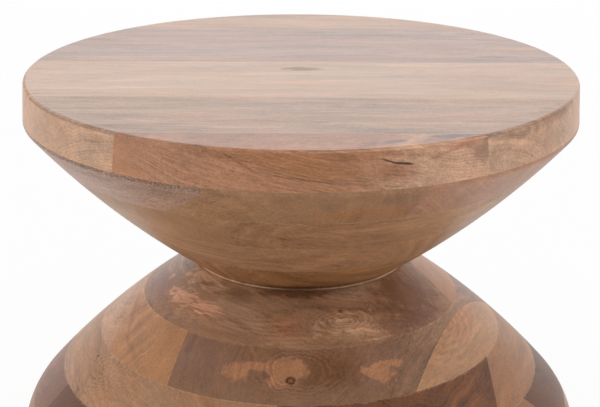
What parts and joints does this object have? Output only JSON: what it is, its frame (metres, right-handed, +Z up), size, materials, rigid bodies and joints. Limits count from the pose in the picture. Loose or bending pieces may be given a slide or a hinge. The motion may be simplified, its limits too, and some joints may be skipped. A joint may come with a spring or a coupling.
{
  "type": "round side table",
  "caption": "Round wooden side table, an hourglass turned from glued-up plank layers, with a flat top, a straight rim, a narrow neck and a bell-shaped base.",
  "frame": {"origin": "centre of the base, on the floor", "axes": "+Z up along the turning axis, -Y the front"},
  "size_m": [0.472, 0.472, 0.345],
  "materials": {
    "pale_wood": "satin oil",
    "tan_wood": "satin oil",
    "rosy_wood": "satin oil",
    "dark_wood": "satin oil",
    "grey_wood": "satin oil",
    "dowel_wood": "satin oil",
    "felt": "matte felt"
  },
  "bodies": {
    "root": {"base_board_1": "rosy_wood", "base_board_2": "tan_wood", "base_board_3": "pale_wood", "base_board_4": "tan_wood", "bell_1_board_1": "dark_wood", "bell_1_board_2": "rosy_wood", "bell_2_board_1": "pale_wood", "bell_2_board_2": "dark_wood", "bell_2_board_3": "pale_wood", "bell_3_board_1": "pale_wood", "bell_3_board_2": "dark_wood", "bell_3_board_3": "rosy_wood", "bell_4_board_1": "tan_wood", "bell_4_board_2": "grey_wood", "bell_4_board_3": "grey_wood", "bell_4_board_4": "tan_wood", "bell_5_board_1": "tan_wood", "bell_5_board_2": "rosy_wood", "bell_5_board_3": "dark_wood", "bell_5_board_4": "pale_wood", "bowl_1_board_1": "grey_wood", "bowl_1_board_2": "tan_wood", "bowl_1_board_3": "rosy_wood", "bowl_1_board_4": "tan_wood", "bowl_2_board_1": "tan_wood", "bowl_2_board_2": "rosy_wood", "bowl_2_board_3": "pale_wood", "bowl_3_board_1": "tan_wood", "bowl_3_board_2": "pale_wood", "bowl_3_board_3": "rosy_wood", "bowl_4_board_1": "tan_wood", "bowl_4_board_2": "rosy_wood", "bowl_4_board_3": "tan_wood", "felt_pads": "felt", "neck_dowel": "dowel_wood", "top_board_1": "rosy_wood", "top_board_2": "tan_wood", "top_board_3": "pale_wood", "top_board_4": "tan_wood", "top_board_5": "rosy_wood"}
  },
  "joints": []
}
